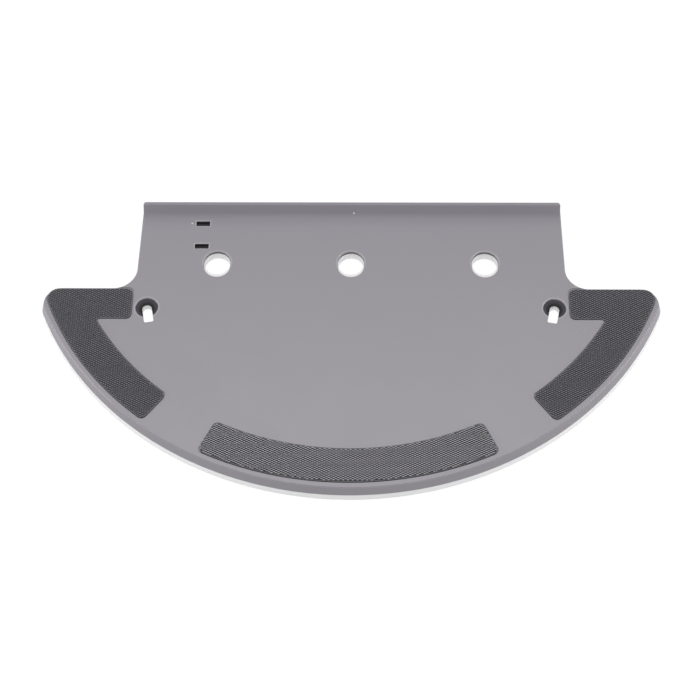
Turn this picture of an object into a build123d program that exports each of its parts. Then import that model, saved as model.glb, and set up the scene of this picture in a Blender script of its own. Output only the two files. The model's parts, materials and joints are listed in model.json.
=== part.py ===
# Mop plate of a robot vacuum: a grey base plate over a white backing plate, three hook pads for
# the cloth, a rubber seat in each of the two water outlets and a presence magnet under two windows.
# It lies with the cloth side up. X runs along the straight back edge, +Y points to that edge, the
# round front is at -Y, and z = 0 is the foot rim that the plate rests on.

import math
import os

from build123d import *

os.makedirs("parts", exist_ok=True)

# Plan of the plate
rim_radius = 161.2  # round front at the foot
plate_depth = 158.6  # front of the foot to the back of the tab
wing_setback = 48.8  # back of the tab to the back of the wings
tab_back_width = 206.1
tab_root_width = 207.5
tip_radius = 8.5  # corner at each wing tip
root_radius = 11.5  # inner corner between the tab and a wing
tab_corner_radius = 2.5
least_radius = 0.3  # smallest corner left by an inset

# Heights and walls
plate_height = 8.8  # foot to the face that carries the pads
foot_height = 3.6  # white edge that shows under the grey wall
foot_draft = 0.3  # how far the foot draws in over its height
wall_slope = 1.5  # how far the front draws in from the foot to the bevel
edge_bevel = 0.4  # along the edge of the face
sheet = 1.5  # thickness of the face
skirt_wall = 1.8
shell_clearance = 0.15  # between the backing plate's panel and the grey wall
panel_under = 3.2  # foot to the underside of the panel
panel = 1.8  # thickness of the panel
flange = 1.8  # thickness of the edge that the grey wall stands on
foot_wall = 2.2
tray_inset = 7.0  # from the edge of the plate to the raised panel's underside

# Turned-up lip along the back of the tab
lip_height = 5.0  # above the face
lip_radius = 5.0  # hollow curve at its root
lip_angle = 50.0  # slope above the curve
lip_crest = 1.8  # width of its top
lip_crest_round = 0.8

# Three holes across the tab: a round bore in a collar, under a longer opening in the face
hole_radius = 6.2
hole_pitch = 65.0
hole_setback = 33.5  # from the back of the tab
hole_clearance = 0.2  # from the bore to the edge of the opening
hole_relief = 1.9  # how far the opening runs on towards the front
hole_chamfer = 0.4
collar_wall = 2.6

# Water outlets: a round recess with a slot that runs forward out of it
outlet_x = 97.5
outlet_setback = 60.0
outlet_radius = 5.4
outlet_chamfer = 0.3
slot_width = 4.6
slot_back = 2.6  # end of the slot behind the recess's centre
slot_front = 8.5  # end of the slot in front of it
slot_corner = 0.8
slot_lean = 11.0  # degrees, towards the middle at the front
slot_wall = 0.8
seat_clearance = 0.1
seat_rim = 0.8  # face to the seat's outer edge
seat_dish = 1.8  # face to the middle of the seat
seat_dish_radius = 3.0
seat_cover = 0.4  # thickness of the seat over the slot's collar

# Windows and the magnet under them
window_length = 6.7
window_width = 2.7
window_side = 8.1  # outwards from the left hole's centre
window_behind = 9.7  # from that centre back to the first window
window_pitch = 13.6
window_count = 2
window_chamfer = 0.25
magnet_margin = 0.8  # past the windows, all round
magnet_clearance = 0.1  # to the face's underside and to the hole's collar

# Hook pads
pad_margin = 4.2  # inwards from the rim at the foot
pad_width = 17.2
pad_thickness = 1.2
pocket_depth = 0.4
pocket_gap = 0.25
front_pad_angle = 26.0  # half the angle that the front pad spans
side_pad_angle = 37.3  # from the front to the end of a side pad
pad_outlet_gap = 1.4  # from an outlet's edge to the leg of a side pad
pad_back_margin = 0.35  # from the back of the wing
pad_corner = 2.4
pad_tip_corner = 5.5
pad_nook = 1.2  # inner corner of a side pad
nook_share = 0.3  # how much of a short leg's edge that corner's radius may take

# Ribs on the panel that hold the face up
rib_width = 1.6
arc_rib_radius = 124.0
arc_rib_angle = 44.0  # half the angle that the curved rib spans

# Places that follow from the sizes above
front_y = -plate_depth / 2
back_y = plate_depth / 2
arc_y = front_y + rim_radius
wing_y = back_y - wing_setback
hole_y = back_y - hole_setback
outlet_y = back_y - outlet_setback
sheet_under = plate_height - sheet
panel_top = panel_under + panel
flange_under = foot_height - flange
pad_floor = plate_height - pocket_depth
pad_outer_radius = rim_radius - pad_margin
pad_inner_radius = pad_outer_radius - pad_width
leg_end_x = outlet_x + outlet_radius + outlet_chamfer + pad_outlet_gap
outlet_collar_top = plate_height - seat_dish - seat_cover
panel_inset = skirt_wall + shell_clearance
lip_curve_run = lip_radius * math.sin(math.radians(lip_angle))
lip_curve_rise = lip_radius * (1 - math.cos(math.radians(lip_angle)))
lip_slope_run = (lip_height - lip_curve_rise) / math.tan(math.radians(lip_angle))
lip_back_y = back_y - edge_bevel
lip_front_y = lip_back_y - lip_crest - lip_slope_run - lip_curve_run
lip_top = plate_height + lip_height
straight_rib_front = arc_y - math.sqrt(arc_rib_radius**2 - (hole_pitch / 2) ** 2)
straight_rib_length = back_y - tray_inset - straight_rib_front
hole_places = [(i * hole_pitch, hole_y) for i in (-1, 0, 1)]
opening_places = [(x, y - hole_relief / 2) for x, y in hole_places]
opening_radius = hole_radius + hole_clearance
outlet_places = [Location((s * outlet_x, outlet_y, 0), (0, 0, -s * slot_lean)) for s in (-1, 1)]
window_x = -hole_pitch - window_side
window_places = [(window_x, hole_y + window_behind + i * window_pitch) for i in range(window_count)]


def plate_outline(rim_inset, side_inset=0.0):
    """Plan of the plate, drawn in from its round front and from its wings and tab."""
    wing_line = wing_y - side_inset
    back_line = back_y - side_inset
    root = tab_root_width / 2 - side_inset
    back = tab_back_width / 2 - side_inset
    with BuildSketch(mode=Mode.PRIVATE) as outline:
        with Locations((0, arc_y)):
            Circle(rim_radius - rim_inset)
        with Locations((0, wing_line)):
            Rectangle(3 * rim_radius, 3 * rim_radius, align=(Align.CENTER, Align.MAX), mode=Mode.INTERSECT)
        with BuildLine():
            Polyline(
                (-root, wing_line - root_radius),
                (-root, wing_line),
                (-back, back_line),
                (back, back_line),
                (root, wing_line),
                (root, wing_line - root_radius),
                close=True,
            )
        make_face()
        tips = outline.vertices().group_by(Axis.Y)[-2].sort_by(Axis.X)
        fillet([tips[0], tips[-1]], max(tip_radius - side_inset, least_radius))
        roots = outline.vertices().group_by(Axis.Y)[-2].sort_by(Axis.X)
        fillet([roots[1], roots[-2]], root_radius + side_inset)
        fillet(outline.vertices().group_by(Axis.Y)[-1], max(tab_corner_radius - side_inset, least_radius))
    return outline.sketch


def arc_point(radius, angle):
    """Point of a circle about the arc's centre, with the angle in degrees from the front towards +X."""
    turn = math.radians(angle)
    return (radius * math.sin(turn), arc_y - radius * math.cos(turn))


def arc_point_at(radius, y):
    """Point of such a circle on its +X side at a given y."""
    return (math.sqrt(radius**2 - (y - arc_y) ** 2), y)


def front_pad_outline(grow=0.0):
    """Band along the front, with straight ends that point to the arc's centre."""
    outer = pad_outer_radius + grow
    inner = pad_inner_radius - grow
    end = front_pad_angle + math.degrees(grow / pad_outer_radius)
    with BuildSketch(mode=Mode.PRIVATE) as pad:
        with BuildLine():
            ThreePointArc(arc_point(outer, -end), arc_point(outer, 0), arc_point(outer, end))
            Line(arc_point(outer, end), arc_point(inner, end))
            ThreePointArc(arc_point(inner, end), arc_point(inner, 0), arc_point(inner, -end))
            Line(arc_point(inner, -end), arc_point(outer, -end))
        make_face()
        fillet(pad.vertices(), pad_corner + grow)
    return pad.sketch


def side_pad_outline(grow=0.0, past_wing=0.0):
    """The +X side pad: a leg along the back of the wing that turns down along the rim."""
    outer = pad_outer_radius + grow
    inner = pad_inner_radius - grow
    end = side_pad_angle - math.degrees(grow / pad_outer_radius)
    back = wing_y - pad_back_margin + past_wing
    leg_front = wing_y - pad_back_margin - pad_width - grow
    leg_end = leg_end_x - grow
    tip = arc_point_at(outer, back)
    nook = arc_point_at(inner, leg_front)
    tip_angle = math.degrees(math.atan2(tip[0], arc_y - tip[1]))
    nook_angle = math.degrees(math.atan2(nook[0], arc_y - nook[1]))
    leg_room = nook[0] - leg_end - pad_corner - grow
    nook_radius = max(min(pad_nook - grow, nook_share * leg_room), least_radius)
    with BuildSketch(mode=Mode.PRIVATE) as pad:
        with BuildLine():
            Line((leg_end, leg_front), (leg_end, back))
            Line((leg_end, back), tip)
            ThreePointArc(tip, arc_point(outer, (tip_angle + end) / 2), arc_point(outer, end))
            Line(arc_point(outer, end), arc_point(inner, end))
            ThreePointArc(arc_point(inner, end), arc_point(inner, (nook_angle + end) / 2), nook)
            Line(nook, (leg_end, leg_front))
        make_face()
        corners = [(leg_end, leg_front), (leg_end, back), arc_point(outer, end), arc_point(inner, end)]
        fillet([pad.vertices().sort_by_distance(p)[0] for p in corners], pad_corner + grow)
        fillet(pad.vertices().sort_by_distance(tip)[0], pad_tip_corner + grow)
        fillet(pad.vertices().sort_by_distance(nook)[0], nook_radius)
    return pad.sketch


def slot_outline(grow=0.0):
    """Outlet slot about the recess's centre: round at the back, square with small corners in front."""
    half = slot_width / 2
    with BuildSketch(mode=Mode.PRIVATE) as slot:
        with Locations((0, slot_back - half)):
            Circle(half + grow)
            Rectangle(
                slot_width + 2 * grow,
                slot_back - half + slot_front + grow,
                align=(Align.CENTER, Align.MAX),
            )
        fillet(slot.vertices().group_by(Axis.Y)[0], slot_corner + grow)
    return slot.sketch


# Turned-up lip: its section along Y, cut to the plan of the tab inside the bevel
with BuildPart() as back_lip:
    with BuildSketch(Plane.YZ) as lip_section:
        with BuildLine():
            curve = JernArc((lip_front_y, plate_height), (1, 0), lip_radius, lip_angle)
            Polyline(
                curve @ 1,
                (lip_back_y - lip_crest, lip_top),
                (lip_back_y, lip_top),
                (lip_back_y, sheet_under),
                (lip_front_y, sheet_under),
                (lip_front_y, plate_height),
            )
        make_face()
        fillet(lip_section.vertices().group_by(Axis.Y)[-1], lip_crest_round)
    extrude(amount=tab_back_width, both=True)
    with BuildSketch(Plane.XY.offset(sheet_under)):
        add(plate_outline(wall_slope + edge_bevel, edge_bevel))
    extrude(amount=sheet + lip_height, mode=Mode.INTERSECT)

# Hollow under the lip, one sheet below its curve and one wall in from its back and ends
with BuildPart() as lip_hollow:
    with BuildSketch(Plane.YZ) as hollow_section:
        with BuildLine():
            under = JernArc((lip_front_y, sheet_under), (1, 0), lip_radius + sheet, lip_angle)
            hollow_back = lip_back_y - skirt_wall
            hollow_rise = (hollow_back - (under @ 1).X) * math.tan(math.radians(lip_angle))
            Polyline(
                under @ 1,
                (hollow_back, (under @ 1).Y + hollow_rise),
                (hollow_back, sheet_under),
                (lip_front_y, sheet_under),
            )
        make_face()
    extrude(amount=tab_back_width / 2 - edge_bevel - skirt_wall, both=True)

# Grey base plate: a face with a sloping wall under its edge
with BuildPart() as base_plate:
    with BuildSketch(Plane.XY.offset(foot_height)):
        add(plate_outline(foot_draft))
    with BuildSketch(Plane.XY.offset(plate_height - edge_bevel)):
        add(plate_outline(wall_slope))
    with BuildSketch(Plane.XY.offset(plate_height)):
        add(plate_outline(wall_slope + edge_bevel, edge_bevel))
    loft(ruled=True)
    add(back_lip.part)
    with BuildSketch(Plane.XY.offset(foot_height)):
        add(plate_outline(foot_draft + skirt_wall, skirt_wall))
    with BuildSketch(Plane.XY.offset(sheet_under)):
        add(plate_outline(wall_slope + skirt_wall, skirt_wall))
    loft(ruled=True, mode=Mode.SUBTRACT)
    add(lip_hollow.part, mode=Mode.SUBTRACT)
    with Locations([(p.position.X, p.position.Y, plate_height) for p in outlet_places]):
        CounterSinkHole(outlet_radius, outlet_radius + outlet_chamfer, counter_sink_angle=90)
    with BuildSketch(Plane.XY.offset(sheet_under)):
        with Locations(outlet_places):
            add(slot_outline())
        with Locations(opening_places):
            SlotCenterToCenter(hole_relief, 2 * opening_radius, rotation=90)
        with Locations(window_places):
            Rectangle(window_length, window_width)
    extrude(amount=sheet, mode=Mode.SUBTRACT)
    with BuildSketch(Plane.XY.offset(plate_height)):
        with Locations(opening_places):
            SlotCenterToCenter(hole_relief, 2 * (opening_radius + hole_chamfer), rotation=90)
    extrude(amount=-hole_chamfer, taper=45, mode=Mode.SUBTRACT)
    with BuildSketch(Plane.XY.offset(plate_height)):
        with Locations(window_places):
            Rectangle(window_length + 2 * window_chamfer, window_width + 2 * window_chamfer)
    extrude(amount=-window_chamfer, taper=45, mode=Mode.SUBTRACT)
    with BuildSketch(Plane.XY.offset(pad_floor)):
        add(front_pad_outline(pocket_gap))
        add(side_pad_outline(pocket_gap, 2 * pad_back_margin))
        mirror(side_pad_outline(pocket_gap, 2 * pad_back_margin), about=Plane.YZ)
    extrude(amount=pocket_depth, mode=Mode.SUBTRACT)
base_plate.part.label = "base_plate"
export_step(base_plate.part, "parts/base_plate.step")

# White backing plate: a foot rim, a flange under the grey wall and a raised panel with collars
with BuildPart() as backing_plate:
    with BuildSketch():
        add(plate_outline(0))
    with BuildSketch(Plane.XY.offset(foot_height)):
        add(plate_outline(foot_draft))
    loft(ruled=True)
    with BuildSketch(Plane.XY.offset(flange_under)):
        add(plate_outline(wall_slope + panel_inset, panel_inset))
    extrude(amount=panel_top - flange_under)
    with BuildSketch():
        add(plate_outline(foot_wall, foot_wall))
    extrude(amount=flange_under, mode=Mode.SUBTRACT)
    with BuildSketch():
        add(plate_outline(tray_inset, tray_inset))
    extrude(amount=panel_under, mode=Mode.SUBTRACT)
    with BuildSketch(Plane.XY.offset(panel_under)):
        with Locations(hole_places):
            Circle(hole_radius + collar_wall)
        with Locations(outlet_places):
            add(slot_outline(slot_wall))
        with BuildLine():
            CenterArc((0, arc_y), arc_rib_radius, -90 - arc_rib_angle, 2 * arc_rib_angle)
            offset(amount=rib_width / 2, side=Side.BOTH)
        make_face()
        with Locations([(s * hole_pitch / 2, back_y - tray_inset) for s in (-1, 1)]):
            Rectangle(rib_width, straight_rib_length, align=(Align.CENTER, Align.MAX))
    extrude(amount=sheet_under - panel_under)
    with BuildSketch(Plane.XY.offset(outlet_collar_top)):
        with Locations(outlet_places):
            Circle(outlet_radius)
    extrude(amount=sheet_under - outlet_collar_top, mode=Mode.SUBTRACT)
    with BuildSketch():
        with Locations(hole_places):
            Circle(hole_radius)
        with Locations(outlet_places):
            add(slot_outline())
    extrude(amount=plate_height, mode=Mode.SUBTRACT)
backing_plate.part.label = "backing_plate"
export_step(backing_plate.part, "parts/backing_plate.step")

# Hook pads, seated in their pockets
with BuildPart() as hook_pad_front:
    with BuildSketch(Plane.XY.offset(pad_floor)):
        add(front_pad_outline())
    extrude(amount=pad_thickness)
hook_pad_front.part.label = "hook_pad_front"
export_step(hook_pad_front.part, "parts/hook_pad_front.step")

with BuildPart() as hook_pad_right:
    with BuildSketch(Plane.XY.offset(pad_floor)):
        add(side_pad_outline())
    extrude(amount=pad_thickness)
hook_pad_right.part.label = "hook_pad_right"
export_step(hook_pad_right.part, "parts/hook_pad_right.step")

with BuildPart() as hook_pad_left:
    mirror(hook_pad_right.part, about=Plane.YZ)
hook_pad_left.part.label = "hook_pad_left"
export_step(hook_pad_left.part, "parts/hook_pad_left.step")

# Rubber seats: a dished plug in each outlet, over the slot's collar and standing on the panel
for name, place in zip(("outlet_seat_left", "outlet_seat_right"), outlet_places):
    with BuildPart() as outlet_seat:
        with BuildSketch(Plane.XZ):
            with BuildLine():
                Polyline(
                    (0, panel_top),
                    (outlet_radius - seat_clearance, panel_top),
                    (outlet_radius - seat_clearance, plate_height - seat_rim),
                    (seat_dish_radius, plate_height - seat_dish),
                    (0, plate_height - seat_dish),
                    close=True,
                )
            make_face()
        revolve(axis=Axis.Z)
        with BuildSketch():
            add(slot_outline())
        extrude(amount=plate_height, mode=Mode.SUBTRACT)
        with BuildSketch():
            add(slot_outline(slot_wall + seat_clearance))
        extrude(amount=outlet_collar_top, mode=Mode.SUBTRACT)
    seat = outlet_seat.part.moved(place)
    seat.label = name
    export_step(seat, f"parts/{name}.step")

# Presence magnet on the panel, under the windows
with BuildPart() as presence_magnet:
    with BuildSketch(Plane.XY.offset(panel_top)):
        with Locations((window_x, sum(y for _, y in window_places) / window_count)):
            Rectangle(
                window_length + 2 * magnet_margin,
                window_width + (window_count - 1) * window_pitch + 2 * magnet_margin,
            )
        with Locations(hole_places):
            Circle(hole_radius + collar_wall + magnet_clearance, mode=Mode.SUBTRACT)
    extrude(amount=sheet_under - magnet_clearance - panel_top)
presence_magnet.part.label = "presence_magnet"
export_step(presence_magnet.part, "parts/presence_magnet.step")
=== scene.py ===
# %% [markdown]
# # Dressing a robot vacuum's mop plate
# The plate lies on its back with the cloth side up. Its rigid pieces, a grey shell, a white backing
# plate, two rubber seats and a small magnet, come from the frame in their final size and are only
# given finishes here. The three strips of hook tape are plain slabs in the frame, so this lesson
# models them: a tape with a soft edge, and rows of small moulded hooks standing on it.

# %% Load the frame
import json
import math
import random

import bmesh
import bpy
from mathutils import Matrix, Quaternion, Vector
from mathutils.bvhtree import BVHTree


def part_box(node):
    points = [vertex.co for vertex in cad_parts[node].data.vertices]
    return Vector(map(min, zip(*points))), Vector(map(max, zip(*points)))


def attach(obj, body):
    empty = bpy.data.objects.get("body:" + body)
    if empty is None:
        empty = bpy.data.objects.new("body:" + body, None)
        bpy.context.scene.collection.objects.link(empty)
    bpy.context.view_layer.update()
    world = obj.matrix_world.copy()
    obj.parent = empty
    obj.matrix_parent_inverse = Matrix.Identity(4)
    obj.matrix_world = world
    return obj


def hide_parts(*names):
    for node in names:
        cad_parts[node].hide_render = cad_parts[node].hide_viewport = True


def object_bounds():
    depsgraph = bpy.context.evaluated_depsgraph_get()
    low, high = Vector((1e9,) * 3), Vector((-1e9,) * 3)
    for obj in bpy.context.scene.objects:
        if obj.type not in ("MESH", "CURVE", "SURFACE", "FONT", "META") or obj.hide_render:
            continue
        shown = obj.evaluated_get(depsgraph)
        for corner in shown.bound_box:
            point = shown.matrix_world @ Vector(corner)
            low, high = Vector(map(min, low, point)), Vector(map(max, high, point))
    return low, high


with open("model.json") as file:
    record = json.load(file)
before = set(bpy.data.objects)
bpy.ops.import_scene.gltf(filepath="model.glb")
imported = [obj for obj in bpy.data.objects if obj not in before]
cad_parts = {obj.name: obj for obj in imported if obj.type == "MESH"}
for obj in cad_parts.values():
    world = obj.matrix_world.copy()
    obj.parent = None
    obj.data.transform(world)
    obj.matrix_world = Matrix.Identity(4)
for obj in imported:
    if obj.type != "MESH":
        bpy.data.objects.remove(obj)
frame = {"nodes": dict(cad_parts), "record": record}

cad_low, cad_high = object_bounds()
nodes = frame["nodes"]
mm = 0.001
print("nodes:", ", ".join(sorted(nodes)))
print("size in mm:", [round(side / mm, 1) for side in cad_high - cad_low])

# %% [markdown]
# ## Where the camera stands
# The plate was seen from the round side and well above it, through a long lens that keeps the back
# edge almost as wide as it is. A camera can be keyed in by hand or worked out from a few angles.
# Angles are used here, because they say what was seen: how high, how far round and how much tilt.

# %% Camera
view_height = math.radians(57.54)
view_round = math.radians(1.81)
view_tilt = math.radians(-1.36)
view_distance = 847.2 * mm
view_target = Vector((0.14, -4.57, 8.8)) * mm
picture_width = 700
focal_pixels = 1800
nearest_seen = 10 * mm

camera_data = bpy.data.cameras.new("camera")
camera_data.sensor_fit = "HORIZONTAL"
camera_data.lens = camera_data.sensor_width * focal_pixels / picture_width
camera_data.clip_start = nearest_seen
camera = bpy.data.objects.new("camera", camera_data)
bpy.context.scene.collection.objects.link(camera)
bpy.context.scene.camera = camera

backwards = Vector((
    math.sin(view_round) * math.cos(view_height),
    -math.cos(view_round) * math.cos(view_height),
    math.sin(view_height),
))
camera.rotation_mode = "QUATERNION"
camera.location = view_target + backwards * view_distance
look = (-backwards).to_track_quat("-Z", "Y")
camera.rotation_quaternion = look @ Quaternion((0, 0, 1), view_tilt)
print("lens in mm:", round(camera_data.lens, 1))

# %% [markdown]
# ## Helpers for finishes
# Every finish is a small graph of shader nodes. Written out by hand, the same few lines come back
# for each node: make it, set its inputs, link it. A short helper takes that over, and another one
# mixes two colours, so that each finish below reads as a recipe.

# %% Node helpers
# Numbers of a mix node's two colour inputs and of its colour output
MIX_FIRST, MIX_SECOND, MIX_RESULT = 6, 7, 2


def add_node(tree, kind, links=None, operation=None, **inputs):
    """Makes a shader node, sets the named inputs and links the others from the given sockets."""
    node = tree.nodes.new(kind)
    if operation:
        node.operation = operation
    for name, value in inputs.items():
        node.inputs[name.replace("_", " ")].default_value = value
    for name, socket in (links or {}).items():
        tree.links.new(socket, node.inputs[name])
    return node


def mix_colours(tree, factor, first, second):
    """Mixes two colours by a factor. Each of them is a colour or the socket of one."""
    mix = add_node(tree, "ShaderNodeMix", {"Factor": factor})
    mix.data_type = "RGBA"
    for number, colour in ((MIX_FIRST, first), (MIX_SECOND, second)):
        if isinstance(colour, bpy.types.NodeSocket):
            tree.links.new(colour, mix.inputs[number])
        else:
            mix.inputs[number].default_value = colour
    return mix.outputs[MIX_RESULT]


def seen(red, green, blue):
    """Linear colour for the shader from a colour as it is seen on screen, 0 to 255."""
    return tuple(((c / 255 + 0.055) / 1.055) ** 2.4 for c in (red, green, blue)) + (1.0,)


print("a mid grey of 140 is", round(seen(140, 140, 140)[0], 3), "in the shader")

# %% [markdown]
# ## White all round
# The plate was shown on plain white, with white seen through its holes. Turning the light up until
# the floor clips would bleach the plate too. So the floor and the world are white only for rays
# that look at them straight or in a reflection, and light the plate at an even, plain level.

# %% World
WHITE = (1, 1, 1, 1)
room_light = 0.36


def white_to_the_eye(tree):
    """A factor that is 1 for rays from the camera, from gloss and through glass."""
    rays = tree.nodes.new("ShaderNodeLightPath").outputs
    straight = {0: rays["Is Camera Ray"], 1: rays["Is Glossy Ray"]}
    eye = add_node(tree, "ShaderNodeMath", straight, "MAXIMUM")
    through = {0: eye.outputs[0], 1: rays["Is Transmission Ray"]}
    return add_node(tree, "ShaderNodeMath", through, "MAXIMUM").outputs[0]


world = bpy.data.worlds.new("studio")
world.use_nodes = True
bpy.context.scene.world = world
sky = world.node_tree
sky.nodes.clear()
dim = add_node(sky, "ShaderNodeBackground", Color=WHITE, Strength=room_light)
white = add_node(sky, "ShaderNodeBackground", Color=WHITE, Strength=1.0)
room = add_node(sky, "ShaderNodeMixShader", {
    0: white_to_the_eye(sky),
    1: dim.outputs[0],
    2: white.outputs[0],
})
add_node(sky, "ShaderNodeOutputWorld", {"Surface": room.outputs[0]})
bpy.context.scene.view_settings.view_transform = "Standard"
print("room light:", room_light)

# %% [markdown]
# ## The table
# Nothing but white is seen under the plate, so a large matt sheet stands in for a table. It lies a
# twentieth of a millimetre below the plate, because two faces in one plane would flicker. A plain
# diffuse sheet would carry a dark shadow that wasn't there. This one glows a little, which keeps its
# shadow faint and the holes bright.

# %% Floor
floor_half = 3.0
floor_drop = 0.05 * mm
paper_white = (0.82, 0.82, 0.82, 1)
floor_glow = 0.9
table_glow = 0.45


def blank_finish(name):
    """A new finish with an empty graph."""
    material = bpy.data.materials.new(name)
    material.use_nodes = True
    material.node_tree.nodes.clear()
    return material


floor_mesh = bpy.data.meshes.new("floor")
corners = [(-1, -1), (1, -1), (1, 1), (-1, 1)]
floor_points = [(x * floor_half, y * floor_half, -floor_drop) for x, y in corners]
floor_mesh.from_pydata(floor_points, [], [(0, 1, 2, 3)])
floor = bpy.data.objects.new("floor", floor_mesh)
bpy.context.scene.collection.objects.link(floor)
paper = blank_finish("white_paper")
tree = paper.node_tree
matt = add_node(tree, "ShaderNodeBsdfDiffuse", Color=paper_white)
glow = add_node(tree, "ShaderNodeEmission", Color=WHITE, Strength=1.0)
lit = add_node(tree, "ShaderNodeEmission", Color=WHITE, Strength=table_glow)
table = add_node(tree, "ShaderNodeAddShader", {0: matt.outputs[0], 1: lit.outputs[0]})
share = add_node(tree, "ShaderNodeMath", {0: white_to_the_eye(tree)}, "MULTIPLY")
share.inputs[1].default_value = floor_glow
mix = add_node(tree, "ShaderNodeMixShader", {
    0: share.outputs[0],
    1: table.outputs[0],
    2: glow.outputs[0],
})
add_node(tree, "ShaderNodeOutputMaterial", {"Surface": mix.outputs[0]})
floor_mesh.materials.append(paper)
print("floor side in m:", 2 * floor_half)

# %% [markdown]
# ## Studio lamps
# The face is a little brighter towards the round front, and the front wall is darker than the face
# in the middle but as light as the face towards the wings. The real lamps aren't known. A long lamp
# above and behind, which only the front half of the face mirrors, and a low lamp at each side, which
# meets the wall of the wings full on, come close. A weak lamp high in front keeps the lip from going
# dark. Brighter lamps would bleach the white foot until it no longer shows against the table.

# %% Lamps
def lamp(name, place, width, height, watts):
    """A flat lamp that looks at the middle of the plate."""
    data = bpy.data.lights.new(name, "AREA")
    data.shape = "RECTANGLE"
    data.size = width
    data.size_y = height
    data.energy = watts
    thing = bpy.data.objects.new(name, data)
    thing.location = place
    thing.rotation_mode = "QUATERNION"
    thing.rotation_quaternion = (-Vector(place)).to_track_quat("-Z", "Y")
    bpy.context.scene.collection.objects.link(thing)


lamp("lamp_above", (0.0, 0.58, 1.30), width=1.2, height=0.4, watts=7.5)
lamp("lamp_left", (-1.28, -0.15, 0.3), width=0.6, height=0.5, watts=4.6)
lamp("lamp_right", (1.28, -0.15, 0.3), width=0.6, height=0.5, watts=4.4)
lamp("lamp_front", (0.0, -0.6, 1.30), width=1.0, height=0.6, watts=2.4)

# %% [markdown]
# ## Moulded plastic
# The shell is a cool, faintly purple grey with a soft sheen. Such shells are moulded against finely
# eroded steel, which leaves a grain. How fine it is here can't be seen, so a fifth of a millimetre
# is taken. A single grey would look like paint. Here a slow cloud shifts the grey a little, a fine
# noise makes the grain as bump, and the gloss varies with another noise, all in the plate's own
# coordinates so that the scale is true. A bevel node turns the light at sharp edges as the small
# radius of a mould's corner does. Where its normal leaves the flat one there is an edge, and there
# a painted highlight lightens the finish, because the plate's edges show as light lines.

# %% Moulded plastic
edge_round = 0.45 * mm
# Where the bevel's normal starts to leave the flat one, and where the painted edge highlight is full
edge_flat = 0.998
edge_full = 0.97
# Waves of noise to the metre in the drift of colour and in that of gloss
cloud_scale = 18.0
smear_scale = 60.0


def place_on(tree):
    """The place on a piece, in metres."""
    return tree.nodes.new("ShaderNodeTexCoord").outputs["Object"]


def facing_of(tree):
    """The way that the surface looks."""
    return tree.nodes.new("ShaderNodeNewGeometry").outputs["Normal"]


def drifting(tree, place, colour, drift, scale, detail):
    """A colour that drifts a share darker and lighter from place to place."""
    cloud = add_node(tree, "ShaderNodeTexNoise", {"Vector": place}, Scale=scale, Detail=detail)
    darker = tuple(c * (1 - drift) for c in colour[:3]) + (1.0,)
    lighter = tuple(c * (1 + drift) for c in colour[:3]) + (1.0,)
    return mix_colours(tree, cloud.outputs["Fac"], darker, lighter)


def moulded_plastic(name, colour, painted_edge_highlight, grain, grain_depth, gloss, drift, mirror=0.5):
    """A moulded plastic with a grain, a painted edge highlight and a drift of colour and of gloss."""
    material = blank_finish(name)
    tree = material.node_tree
    place = place_on(tree)
    tone = drifting(tree, place, colour, drift, cloud_scale, 2.0)
    soft_edge = add_node(tree, "ShaderNodeBevel", Radius=edge_round).outputs["Normal"]
    normals = {0: soft_edge, 1: facing_of(tree)}
    alike = add_node(tree, "ShaderNodeVectorMath", normals, "DOT_PRODUCT")
    # Painted highlight where the bevel's normal leaves the flat one
    edge_highlight_mask = add_node(tree, "ShaderNodeMapRange", {"Value": alike.outputs["Value"]},
                       From_Min=edge_flat, From_Max=edge_full)
    grains = add_node(tree, "ShaderNodeTexNoise", {"Vector": place}, Scale=1 / grain, Detail=2.0)
    bump = add_node(tree, "ShaderNodeBump", {"Height": grains.outputs["Fac"], "Normal": soft_edge},
                    Strength=1.0, Distance=grain_depth)
    smear = add_node(tree, "ShaderNodeTexNoise", {"Vector": place}, Scale=smear_scale, Detail=3.0)
    shine = add_node(tree, "ShaderNodeMapRange", {"Value": smear.outputs["Fac"]},
                     To_Min=gloss[0], To_Max=gloss[1])
    skin = add_node(tree, "ShaderNodeBsdfPrincipled", {
        "Base Color": mix_colours(tree, edge_highlight_mask.outputs[0], tone, painted_edge_highlight),
        "Roughness": shine.outputs[0],
        "Normal": bump.outputs[0],
    }, Specular_IOR_Level=mirror)
    add_node(tree, "ShaderNodeOutputMaterial", {"Surface": skin.outputs[0]})
    return material


grey_plastic = moulded_plastic(
    "grey_plastic", seen(141, 137, 145), painted_edge_highlight=seen(176, 173, 180),
    grain=0.2 * mm, grain_depth=0.006 * mm, gloss=(0.30, 0.38), drift=0.02)
print("finish of the shell:", grey_plastic.name)

# %% [markdown]
# ## White plastic, rubber and ferrite
# The backing plate is white, the outlet seats are a dull dark grey, and the block behind the windows
# is nearly black. They are taken for ABS, rubber and ferrite, which are usual for such pieces. All
# three are pressed or moulded, so the same recipe serves, with a coarser grain and less of a mirror
# for the dark two.

# %% Other moulded finishes
white_plastic = moulded_plastic(
    "white_plastic", seen(238, 238, 239), painted_edge_highlight=seen(242, 242, 242),
    grain=0.25 * mm, grain_depth=0.004 * mm, gloss=(0.36, 0.46), drift=0.01)
seat_rubber = moulded_plastic(
    "seat_rubber", seen(70, 68, 73), painted_edge_highlight=seen(92, 90, 95),
    grain=0.3 * mm, grain_depth=0.012 * mm, gloss=(0.5, 0.65), drift=0.06, mirror=0.2)
ferrite = moulded_plastic(
    "ferrite", seen(44, 42, 47), painted_edge_highlight=seen(54, 52, 57),
    grain=0.35 * mm, grain_depth=0.02 * mm, gloss=(0.5, 0.65), drift=0.08, mirror=0.2)
print("other finishes:", [m.name for m in (white_plastic, seat_rubber, ferrite)])

# %% [markdown]
# ## Masks
# Some places on a piece look different from the rest of it. They could be painted on the mesh by
# hand. A mask that is worked out from the place on the plate, and from which way the surface looks,
# needs no painting and keeps its size in millimetres. These helpers make masks, and lay a colour
# over a finish where a mask is 1.

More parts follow.
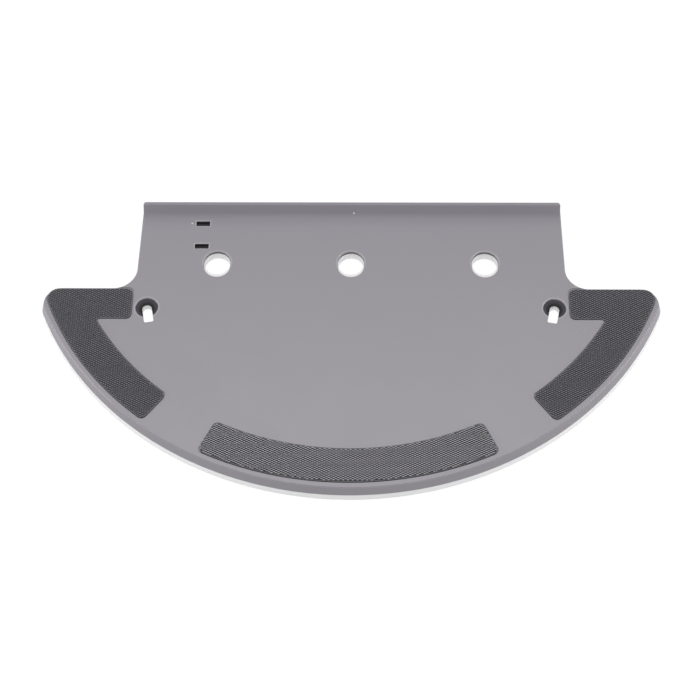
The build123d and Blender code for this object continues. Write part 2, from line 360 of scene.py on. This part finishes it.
# %% Mask helpers
def near(tree, value, middle, reach):
    """A factor that is 1 where a value lies within reach of a middle."""
    test = add_node(tree, "ShaderNodeMath", {0: value}, "COMPARE")
    test.inputs[1].default_value = middle
    test.inputs[2].default_value = reach
    return test.outputs[0]


def times(tree, first, second):
    """The product of two factors."""
    return add_node(tree, "ShaderNodeMath", {0: first, 1: second}, "MULTIPLY").outputs[0]


def distance_from(tree, place, x, y):
    """How far a place is from a point of the plan, at any height."""
    plan = add_node(tree, "ShaderNodeVectorMath", {0: place}, "MULTIPLY")
    plan.inputs[1].default_value = (1.0, 1.0, 0.0)
    away = add_node(tree, "ShaderNodeVectorMath", {0: plan.outputs[0]}, "DISTANCE")
    away.inputs[1].default_value = (x, y, 0.0)
    return away.outputs["Value"]


def within(tree, place, x, y, reach):
    """A factor that is 1 within reach of a point of the plan, at any height."""
    return near(tree, distance_from(tree, place, x, y), 0.0, reach)


def skin_of(material):
    """The main shader of a finish."""
    return next(n for n in material.node_tree.nodes if n.type == "BSDF_PRINCIPLED")


def lay_over(material, factor, colour):
    """Lays a colour over the base colour of a finish where the factor is 1."""
    tree = material.node_tree
    base = skin_of(material).inputs["Base Color"]
    below = base.links[0].from_socket
    tree.links.new(mix_colours(tree, factor, below, colour), base)


print("masks change the node", skin_of(grey_plastic).name)

# %% [markdown]
# ## Painted shade and highlights at the openings
# The holes, outlets and windows show a dark cut edge and a thin light line round it. The dark is
# painted shade on the upright walls in the tab, and the light line is a painted highlight; neither is
# in the plastic. Lamps don't draw lines as thin as these, so masks paint them. The holes' places are
# the bores of the frame's record.

# %% Edges of the openings
holes = [m["pos_m"] for m in frame["record"]["mounts"] if m["kind"] == "bore"]
hole_edge = 6.8 * mm
outlet_x = 97.5 * mm
outlet_y = 19.3 * mm
outlet_edge = 5.7 * mm
window_x = -73.1 * mm
window_ys = (55.5 * mm, 69.1 * mm)
window_half_long = 3.35 * mm
window_half_wide = 1.35 * mm
highlight_rim_width = 0.5 * mm
tab_half_wide = 95 * mm
tab_middle = 53 * mm
tab_half_deep = 23 * mm
upright = 0.3

tree = grey_plastic.node_tree
point = place_on(tree)
place = add_node(tree, "ShaderNodeSeparateXYZ", {0: point}).outputs
facing = add_node(tree, "ShaderNodeSeparateXYZ", {0: facing_of(tree)}).outputs
for window_y in window_ys:
    along = near(tree, place["X"], window_x, window_half_long + highlight_rim_width)
    across = near(tree, place["Y"], window_y, window_half_wide + highlight_rim_width)
    # Painted highlight round each window
    lay_over(grey_plastic, times(tree, along, across), seen(178, 175, 182))
round_openings = [(x, y, hole_edge) for x, y, _ in holes]
round_openings += [(x, outlet_y, outlet_edge) for x in (-outlet_x, outlet_x)]
for x, y, edge in round_openings:
    rim = within(tree, point, x, y, edge + highlight_rim_width)
    # Painted highlight round each hole and outlet
    lay_over(grey_plastic, rim, seen(164, 161, 168))
in_tab = times(
    tree,
    near(tree, place["X"], 0.0, tab_half_wide),
    near(tree, place["Y"], tab_middle, tab_half_deep),
)
shaded_upright_walls = times(tree, in_tab, near(tree, facing["Z"], 0.0, upright))
# Painted shade on the upright walls in the tab
lay_over(grey_plastic, shaded_upright_walls, seen(74, 72, 77))
print("light rims round", len(window_ys) + len(round_openings), "openings")

# %% [markdown]
# ## A duller lip
# In the hollow of the lip the lamp behind would draw a bright line that the real lip doesn't show.
# Moving the lamp would change the whole face, so only the finish of the lip is made rougher, with a
# soft start in front of it.

# %% Lip
# Numbers of a mix node's factor and of its two value inputs
MIX_FACTOR, MIX_FIRST_VALUE, MIX_SECOND_VALUE = 0, 2, 3
dull_start = 66 * mm
dull_full = 71 * mm
dull_gloss = 0.62

roughness = skin_of(grey_plastic).inputs["Roughness"]
dull = add_node(tree, "ShaderNodeMapRange", {"Value": place["Y"]},
                From_Min=dull_start, From_Max=dull_full)
dulled = add_node(tree, "ShaderNodeMix", {
    MIX_FACTOR: dull.outputs[0],
    MIX_FIRST_VALUE: roughness.links[0].from_socket,
})
dulled.inputs[MIX_SECOND_VALUE].default_value = dull_gloss
tree.links.new(dulled.outputs[0], roughness)
print("roughness of the lip:", dull_gloss)

# %% [markdown]
# ## Tops of the collars
# Inside each hole a narrow ring of the white collar lies in shade, where the picture has plain white
# up to the grey edge. Lifting the light would bleach the foot as well, so the finish of these rings
# alone is close to pure white. The mask takes what lies round a hole and looks up.

# %% Collar tops
collar_width = 2.6 * mm

tree = white_plastic.node_tree
point = place_on(tree)
facing = add_node(tree, "ShaderNodeSeparateXYZ", {0: facing_of(tree)}).outputs
looks_up = near(tree, facing["Z"], 1.0, upright)
for x, y, _ in holes:
    collar = within(tree, point, x, y, hole_edge + collar_width)
    lay_over(white_plastic, times(tree, collar, looks_up), seen(253, 253, 253))
print("whiter collars:", len(holes))

# %% [markdown]
# ## Painted shade near the slots
# The outlet seats are darker towards their slots, where the dish is deepest. Shade alone is too weak
# for that here, so a mask paints shade on the rubber from a ring round the slot inwards. The two
# seats mirror each other, so the place is folded to the right side first, and one mask does for both.

# %% Seats
shade_full_radius = 3.1 * mm
shade_start_radius = 4.5 * mm

tree = seat_rubber.node_tree
fold = add_node(tree, "ShaderNodeVectorMath", {0: place_on(tree)}, "ABSOLUTE")
radius = distance_from(tree, fold.outputs[0], outlet_x, outlet_y)
slot_shade = add_node(tree, "ShaderNodeMapRange", {"Value": radius},
                 From_Min=shade_start_radius, From_Max=shade_full_radius)
# Painted shade on the rubber towards the slot
lay_over(seat_rubber, slot_shade.outputs[0], seen(26, 25, 28))
print("rubber is darkest within", round(shade_full_radius / mm, 1), "mm of a slot's middle")

# %% [markdown]
# ## The frame's own pieces
# The rigid pieces arrive from the frame with a plain finish in a slot. Copies could be made and
# dressed, but the frame's meshes have to stay as they are to the last point. So only the finish in
# the slot is changed.

# %% Finishes on the frame's pieces
finishes = {
    "base_plate": grey_plastic,
    "backing_plate": white_plastic,
    "outlet_seat_left": seat_rubber,
    "outlet_seat_right": seat_rubber,
    "presence_magnet": ferrite,
}
for name, finish in finishes.items():
    piece = nodes[name]
    for slot in piece.material_slots:
        slot.material = finish
    print(name, "has", finish.name, "on", len(piece.data.polygons), "faces")

# %% [markdown]
# ## The outline of a strip
# Each strip of tape lies in a shallow pocket. The frame's slab has the pocket's outline, and the
# tape's corners look rounder than that. A new outline could be drawn by hand. Here the slab's outline
# is cut into short steps and smoothed, and only moves inwards count, so that the tape stays in its
# pocket.

# %% Outline of a strip
strips = ("hook_pad_front", "hook_pad_left", "hook_pad_right")
outline_step = 0.5 * mm
smoothing_passes = 20
weld_distance = 0.001 * mm
flat_angle = 0.01
faces_up = 0.9


def top_of(shape):
    """The largest face of a shape that looks up."""
    return max((f for f in shape.faces if f.normal.z > faces_up), key=lambda f: f.calc_area())


def slab_outline(node):
    """The outline of a slab's top, anticlockwise, in short steps."""
    shape = bmesh.new()
    shape.from_mesh(nodes[node].data)
    bmesh.ops.remove_doubles(shape, verts=shape.verts, dist=weld_distance)
    bmesh.ops.dissolve_limit(shape, angle_limit=flat_angle, verts=shape.verts, edges=shape.edges)
    ring = [v.co.xy for v in top_of(shape).verts]
    shape.free()
    outline = []
    for start, end in zip(ring, ring[1:] + ring[:1]):
        steps = math.ceil((end - start).length / outline_step)
        outline.extend(start.lerp(end, i / steps) for i in range(steps))
    return outline


def neighbours(ring):
    """For each point of a closed ring, the point before it and the point after it."""
    return ring[-1:] + ring[:-1], ring[1:] + ring[:1]


def rounder(outline):
    """The outline with its outer corners cut rounder."""
    smooth = outline
    for _ in range(smoothing_passes):
        before, after = neighbours(smooth)
        smooth = [(a + 2 * p + b) / 4 for a, p, b in zip(before, smooth, after)]
    before, after = neighbours(outline)
    result = []
    for old, new, a, b in zip(outline, smooth, before, after):
        outwards = Vector(((b - a).y, -(b - a).x))
        result.append(new if (new - old).dot(outwards) < 0 else old)
    return result


outlines = {node: rounder(slab_outline(node)) for node in strips}
print("points of each outline:", [len(outline) for outline in outlines.values()])

# %% [markdown]
# ## The tape under the hooks
# Hook tape is a thin nylon band, cut to shape and usually glued down. Round each strip runs a lighter
# edge where no hooks stand. The outline is raised to a closed solid, a bevel gives it a soft upper
# edge, and an inset of the top parts the bare edge from the field, so that each can have its own
# finish. A bevel can list its points in another order each time, so the mesh is written in a set
# order and comes out the same on every run.

# %% Tape
tape_height = 0.75 * mm
tape_edge = 0.2 * mm
bare_edge = 0.45 * mm
level = 0.0001 * mm
leans_up = 0.1
EDGE, FIELD = 0, 1


def ordered_mesh(shape, name):
    """A mesh of a shape with its points and faces in a set order."""
    verts = sorted(shape.verts, key=lambda v: tuple(v.co))
    number = {vert: i for i, vert in enumerate(verts)}
    faces = []
    for face in shape.faces:
        ring = [number[vert] for vert in face.verts]
        start = ring.index(min(ring))
        faces.append((ring[start:] + ring[:start], face.material_index))
    faces.sort()
    mesh = bpy.data.meshes.new(name)
    mesh.from_pydata([vert.co for vert in verts], [], [ring for ring, _ in faces])
    for polygon, (_, index) in zip(mesh.polygons, faces):
        polygon.material_index = index
    return mesh


def tape_of(node):
    """The tape of one strip, as a new mesh."""
    low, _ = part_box(node)
    top = low.z + tape_height
    outline = outlines[node]
    shape = bmesh.new()
    sole = [shape.verts.new((p.x, p.y, low.z)) for p in outline]
    shape.faces.new(list(reversed(sole)))
    edge = [shape.verts.new((p.x, p.y, top)) for p in outline]
    shape.faces.new(edge)
    for i in range(len(outline)):
        shape.faces.new((sole[i - 1], sole[i], edge[i], edge[i - 1]))
    shape.normal_update()
    rim = [e for e in shape.edges if all(abs(v.co.z - top) < level for v in e.verts)]
    bmesh.ops.bevel(shape, geom=rim, offset=tape_edge, segments=2, profile=0.5, affect="EDGES")
    for face in shape.faces:
        face.material_index = EDGE if face.normal.z > leans_up else FIELD
    field = top_of(shape)
    bmesh.ops.inset_region(shape, faces=[field], thickness=bare_edge - tape_edge)
    field.material_index = FIELD
    mesh = ordered_mesh(shape, node.replace("hook_pad", "tape"))
    shape.free()
    return mesh


tapes = {node: tape_of(node) for node in strips}
for mesh in tapes.values():
    print(mesh.name, "has", len(mesh.polygons), "faces")

# %% [markdown]
# ## One hook
# Only the pattern of the hooks can be seen, so their shape is one that is common on such tape: a
# waisted stem with a head that is wider across the plate than along it, under whose two ends the
# cloth's loops catch. It could be a bent tube, but at under half a millimetre a stack of oval rings,
# closed at both ends, gives the same catch of light with few faces.

# %% Hook
hook_sides = 8
hook_height = 0.44 * mm
hook_half_wide = 0.62 * mm
hook_half_deep = 0.21 * mm
# A power below 1 makes the ovals boxier
boxiness = 0.7
# Each ring: share of the height, share of the width, share of the depth
hook_rings = [
    (-0.1, 0.5, 0.9),
    (0.4, 0.34, 0.62),
    (0.66, 0.94, 0.9),
    (0.84, 1.0, 1.0),
    (1.0, 0.7, 0.66),
]


def hook_shape():
    """Points and faces of one hook that stands on the origin."""
    points = []
    for rise, wide, deep in hook_rings:
        for i in range(hook_sides):
            turn = 2 * math.pi * (i + 0.5) / hook_sides
            across = math.copysign(abs(math.cos(turn)) ** boxiness, math.cos(turn))
            along = math.copysign(abs(math.sin(turn)) ** boxiness, math.sin(turn))
            points.append(Vector((
                across * wide * hook_half_wide,
                along * deep * hook_half_deep,
                rise * hook_height,
            )))
    faces = []
    for ring in range(len(hook_rings) - 1):
        for i in range(hook_sides):
            a = ring * hook_sides + i
            b = ring * hook_sides + (i + 1) % hook_sides
            faces.append((a, b, b + hook_sides, a + hook_sides))
    last = (len(hook_rings) - 1) * hook_sides
    faces.append(tuple(range(last, last + hook_sides)))
    faces.append(tuple(reversed(range(hook_sides))))
    return points, faces


hook_points, hook_faces = hook_shape()
print("one hook has", len(hook_points), "points and", len(hook_faces), "faces")

# %% [markdown]
# ## A field of hooks
# The hooks stand in rows across the plate, each row shifted by half a step, about a millimetre
# between columns. A particle system could scatter them, but a moulded tape is regular, so a loop
# sets them on a grid, keeps those that stand clear of the tape's edge, and turns and lowers each one
# a little. The side strips look darker and finer than the front one, as if their hooks were seen
# from the narrow side, so theirs are made narrower.

# %% Field of hooks
hook_step = 2.16 * mm
row_step = 0.57 * mm
hook_turn = math.radians(5)
least_height = 0.9
clear_points = 8
clear_above = 1 * mm
DOWN = Vector((0, 0, -1))
chance_seed = 7
chance = random.Random(chance_seed)


def surface_of(mesh):
    """The faces of a mesh, ready to be met by rays."""
    points = [v.co for v in mesh.vertices]
    return BVHTree.FromPolygons(points, [tuple(f.vertices) for f in mesh.polygons])


def on_strip(surface, x, y, above):
    """True if a point, and a ring of points at the bare edge's width round it, lie over a strip."""
    spots = [(x, y)]
    for i in range(clear_points):
        turn = 2 * math.pi * i / clear_points
        spots.append((x + bare_edge * math.cos(turn), y + bare_edge * math.sin(turn)))
    return all(surface.ray_cast(Vector((*spot, above)), DOWN)[0] is not None for spot in spots)


def hook_field(node, width):
    """All hooks of one strip as one mesh, each at a share of the full width."""
    low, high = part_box(node)
    surface = surface_of(tapes[node])
    points, faces, count = [], [], 0
    for row in range(math.floor(low.y / row_step), math.ceil(high.y / row_step) + 1):
        for column in range(math.floor(low.x / hook_step), math.ceil(high.x / hook_step) + 1):
            x = (column + 0.5 * (row % 2)) * hook_step
            y = row * row_step
            if not on_strip(surface, x, y, high.z + clear_above):
                continue
            turn = chance.uniform(-hook_turn, hook_turn)
            tall = chance.uniform(least_height, 1.0)
            first = len(points)
            for p in hook_points:
                points.append((
                    x + p.x * width * math.cos(turn) - p.y * math.sin(turn),
                    y + p.x * width * math.sin(turn) + p.y * math.cos(turn),
                    low.z + tape_height + p.z * tall,
                ))
            faces.extend(tuple(first + i for i in face) for face in hook_faces)
            count += 1
    mesh = bpy.data.meshes.new(node.replace("hook_pad", "hooks"))
    mesh.from_pydata(points, [], faces)
    print(mesh.name, "has", count, "hooks")
    return mesh


hook_widths = {"hook_pad_front": 1.0, "hook_pad_left": 0.7, "hook_pad_right": 0.75}
fields = {node: hook_field(node, hook_widths[node]) for node in strips}

# %% [markdown]
# ## Dark nylon
# Tape and hooks are taken for one dark grey nylon, as is usual, but they don't look alike: the weave
# lies in shade between the hooks, and smooth hooks catch the lamps on their heads. So one recipe
# makes
# five lit and shaded copies of the nylon: a dull, dark one with painted shade for the field of the
# front strip, with the weave as bump, a paler one with less of it for the fields at the sides, a
# lighter one for the bare edge, a light, glossy one with a painted highlight for the hooks of the
# front strip, and a duller one with less of it for those at the sides. Their greys were set by
# comparing tones.

# %% Tape and hook finishes
# Waves of noise to the metre in the drift of colour
nylon_cloud_scale = 140.0


def dark_nylon(name, colour, weave, weave_depth, roughness, drift):
    """A dark nylon with a crossed weave as bump and a small drift of colour."""
    material = blank_finish(name)
    tree = material.node_tree
    place = place_on(tree)
    threads = add_node(tree, "ShaderNodeTexBrick", {"Vector": place}, Scale=1 / weave)
    bump = add_node(tree, "ShaderNodeBump", {"Height": threads.outputs["Fac"]},
                    Strength=1.0, Distance=weave_depth)
    bump.invert = True
    nylon = add_node(tree, "ShaderNodeBsdfPrincipled", {
        "Base Color": drifting(tree, place, colour, drift, nylon_cloud_scale, 3.0),
        "Normal": bump.outputs[0],
    }, Roughness=roughness)
    add_node(tree, "ShaderNodeOutputMaterial", {"Surface": nylon.outputs[0]})
    return material


woven = {"weave": 0.25 * mm, "weave_depth": 0.03 * mm, "roughness": 0.75, "drift": 0.08}
moulded = {"weave": 0.1 * mm, "weave_depth": 0.004 * mm, "drift": 0.1}
# Painted shade in the fields of the tape, less of it at the sides
field_shade_nylon = dark_nylon("field_shade_nylon", seen(48, 47, 51), **woven)
side_field_shade_nylon = dark_nylon("side_field_shade_nylon", seen(68, 67, 72), **woven)
edge_nylon = dark_nylon(
    "edge_nylon", seen(92, 91, 95),
    weave=0.25 * mm, weave_depth=0.01 * mm, roughness=0.5, drift=0.08)
# Painted highlights on the heads of the hooks, less of them at the sides
hook_highlight_nylon = dark_nylon("hook_highlight_nylon", seen(170, 169, 174), roughness=0.34, **moulded)
side_hook_highlight_nylon = dark_nylon("side_hook_highlight_nylon", seen(116, 115, 120), roughness=0.5, **moulded)
print("tape finishes:", field_shade_nylon.name, side_field_shade_nylon.name, edge_nylon.name)
print("hook finishes:", hook_highlight_nylon.name, side_hook_highlight_nylon.name)

# %% [markdown]
# ## The strips on the plate
# Each tape takes the place of the frame's plain slab, and its hooks go with it. They could be joined
# into one object, but as two they keep their own shading: both are smooth, with a sharp line where
# faces meet at more than fifty degrees. All of it rides on the plate's one body.

# %% Put the strips in place
sharp_angle = math.radians(50)


def set_piece(mesh, slot, *finishes):
    """Makes an object of a mesh that moves with the plate and wears the finishes."""
    for finish in finishes:
        mesh.materials.append(finish)
    mesh.shade_smooth()
    mesh.set_sharp_from_angle(angle=sharp_angle)
    piece = bpy.data.objects.new(mesh.name, mesh)
    bpy.context.scene.collection.objects.link(piece)
    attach(piece, "root")
    return piece


for node in strips:
    front = node == "hook_pad_front"
    tape = set_piece(tapes[node], "hook_tape", edge_nylon, field_shade_nylon if front else side_field_shade_nylon)
    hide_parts(node)
    set_piece(fields[node], "hook_tape", hook_highlight_nylon if front else side_hook_highlight_nylon)
    print(node, "is now", tape.name, "with", fields[node].name)

# %% [markdown]
# ## Two light specks
# Two light specks show on the grey shell, one in the hollow of the lip and one beside a window. What
# they are isn't known. The first may be where the plastic was let into the mould, and the second a
# burr at an ejector pin. They could be bumps in the finish, but a speck that stands up catches the
# light from every side, so each is a tiny closed dome, turned square to the surface under it.

# %% Specks
dome_rings = 4
dome_sides = 12
# Each speck: name, place in x and y, radius and height, all in millimetres
specks = [("gate_mark", 1.2, 74.3, 0.46, 0.2), ("pin_mark", -78.5, 69.2, 0.5, 0.28)]


def dome(foot, up, radius, height):
    """Points and faces of a closed dome on a foot, turned to look up."""
    upwards = up.to_track_quat("Z", "Y")
    points = [foot + upwards @ Vector((0, 0, height))]
    for ring in range(1, dome_rings + 1):
        lean = math.pi / 2 * ring / dome_rings
        for i in range(dome_sides):
            turn = 2 * math.pi * i / dome_sides
            out = Vector((math.cos(turn), math.sin(turn), 0)) * radius * math.sin(lean)
            rise = Vector((0, 0, height * math.cos(lean)))
            points.append(foot + upwards @ (out + rise))
    faces = []
    for i in range(dome_sides):
        j = (i + 1) % dome_sides
        faces.append((0, 1 + i, 1 + j))
        for ring in range(dome_rings - 1):
            a = 1 + ring * dome_sides + i
            b = 1 + ring * dome_sides + j
            faces.append((a, a + dome_sides, b + dome_sides, b))
    last = len(points) - 1
    faces.append(tuple(range(last, last - dome_sides, -1)))
    return points, faces


mark_plastic = moulded_plastic(
    "mark_plastic", seen(224, 222, 227), painted_edge_highlight=seen(236, 235, 238),
    grain=0.1 * mm, grain_depth=0.003 * mm, gloss=(0.28, 0.34), drift=0.03)
shell = surface_of(nodes["base_plate"].data)
for name, x, y, radius, height in specks:
    start = Vector((x * mm, y * mm, cad_high.z + clear_above))
    foot, up, _, _ = shell.ray_cast(start, DOWN)
    points, faces = dome(foot, up, radius * mm, height * mm)
    mesh = bpy.data.meshes.new(name)
    mesh.from_pydata(points, [], faces)
    set_piece(mesh, "grey_plastic", mark_plastic)
    print(name, "stands at height", round(foot.z / mm, 2), "mm")
